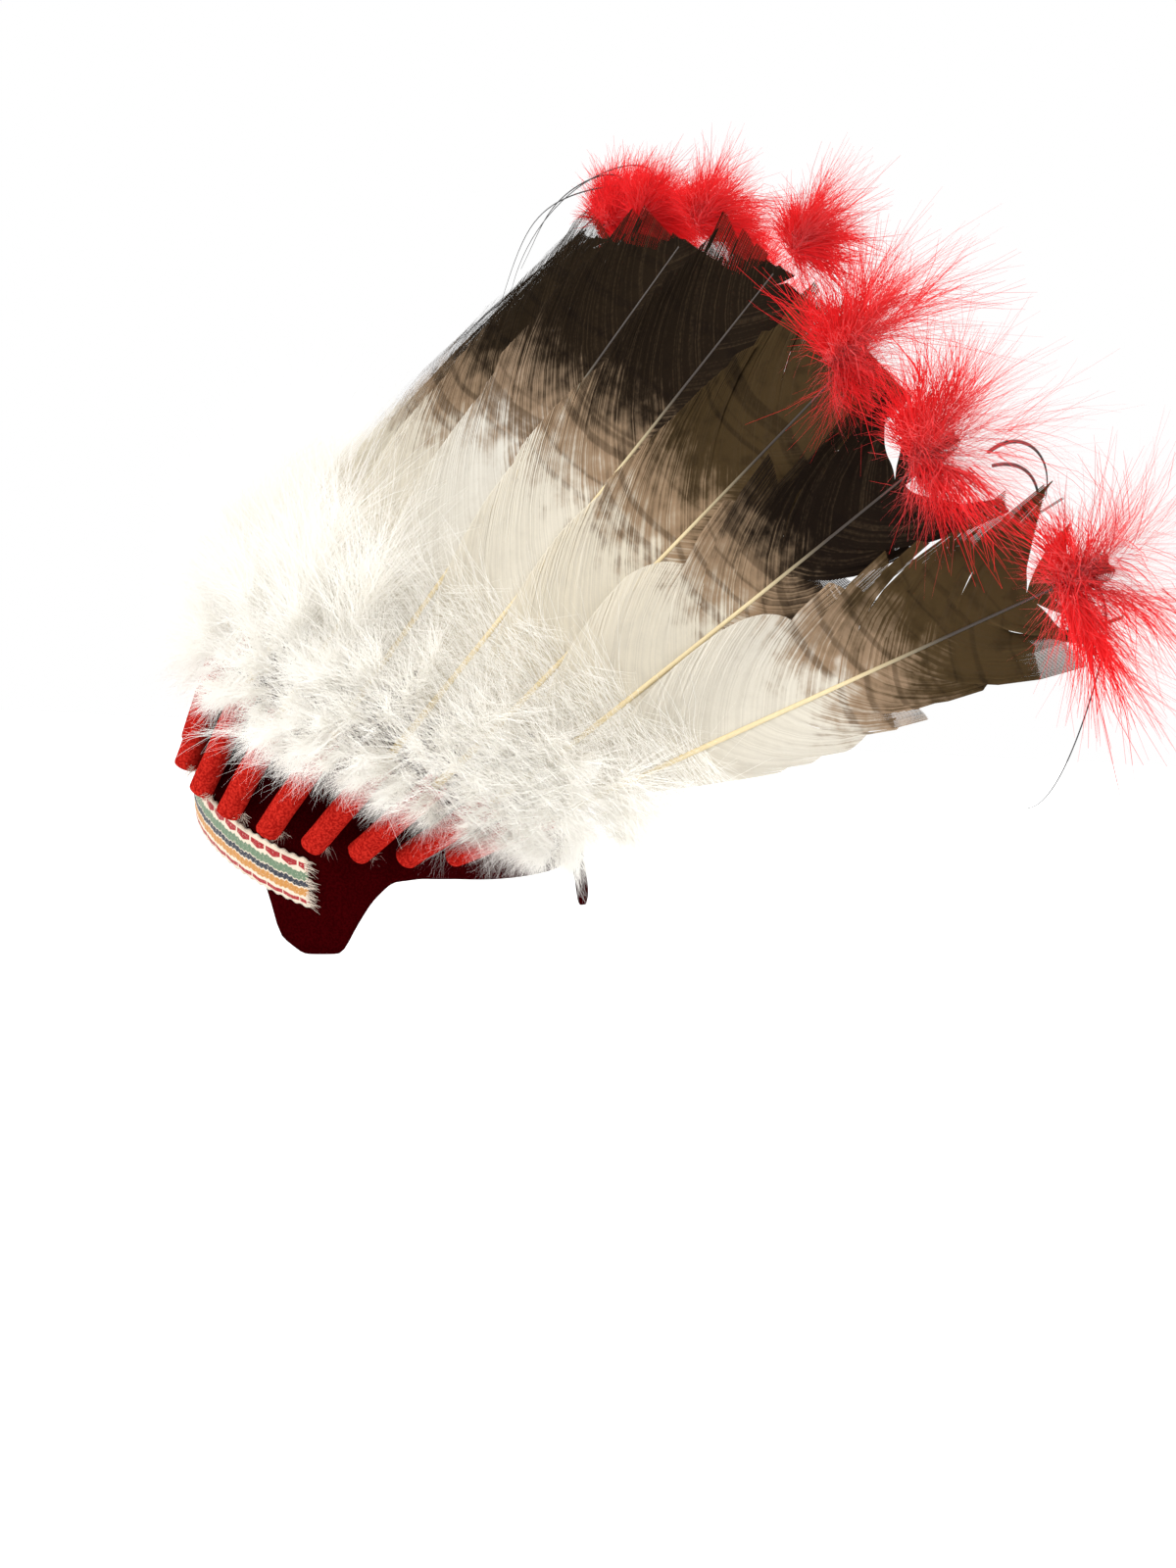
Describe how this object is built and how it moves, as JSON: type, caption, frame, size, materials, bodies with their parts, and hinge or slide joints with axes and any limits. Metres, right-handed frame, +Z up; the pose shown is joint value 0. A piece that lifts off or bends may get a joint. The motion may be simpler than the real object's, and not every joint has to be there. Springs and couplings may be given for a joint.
{
  "type": "feathered headdress",
  "caption": "Felt cap with ear tabs and a woven brow band, carrying an open fan of long feathers in red felt sheaths, with white down at their feet and red tip plumes.",
  "frame": {"origin": "middle of the head opening, level with the cap's edge over the ears, where the head holds the headdress", "axes": "the face looks along -Y, the wearer's left is +X, the crown is up along +Z"},
  "size_m": [0.5486, 0.3716, 0.3565],
  "materials": {
    "felt_maroon": "matt wool felt, very dark maroon",
    "woven_braid": "flat woven braid with coloured zigzag stripes",
    "felt_red": "matt wool felt, red",
    "feather": "feather, cream with a black-brown tip, soft sheen",
    "plume_red": "dyed fluffy feather, bright red",
    "down_white": "fluffy down, white"
  },
  "bodies": {
    "root": {"felt_cap": "felt_maroon", "brow_band": "woven_braid", "nape_tie": "felt_maroon", "sheath_01": "felt_red", "sheath_02": "felt_red", "sheath_03": "felt_red", "sheath_04": "felt_red", "sheath_05": "felt_red", "sheath_06": "felt_red", "sheath_07": "felt_red", "sheath_08": "felt_red", "sheath_09": "felt_red", "sheath_10": "felt_red", "sheath_11": "felt_red", "sheath_12": "felt_red", "sheath_13": "felt_red", "sheath_14": "felt_red", "sheath_15": "felt_red", "sheath_16": "felt_red", "sheath_17": "felt_red", "feather_01": "feather", "feather_02": "feather", "feather_03": "feather", "feather_04": "feather", "feather_05": "feather", "feather_06": "feather", "feather_07": "feather", "feather_08": "feather", "feather_09": "feather", "feather_10": "feather", "feather_11": "feather", "feather_12": "feather", "feather_13": "feather", "feather_14": "feather", "feather_15": "feather", "feather_16": "feather", "feather_17": "feather", "plume_01": "plume_red", "plume_02": "plume_red", "plume_03": "plume_red", "plume_04": "plume_red", "plume_05": "plume_red", "plume_06": "plume_red", "plume_07": "plume_red", "plume_08": "plume_red", "plume_09": "plume_red", "plume_10": "plume_red", "plume_11": "plume_red", "plume_12": "plume_red", "plume_13": "plume_red", "plume_14": "plume_red", "plume_15": "plume_red", "plume_16": "plume_red", "plume_17": "plume_red", "down_right_back": "down_white", "down_right": "down_white", "down_front": "down_white", "down_left": "down_white", "down_left_back": "down_white"}
  },
  "joints": []
}
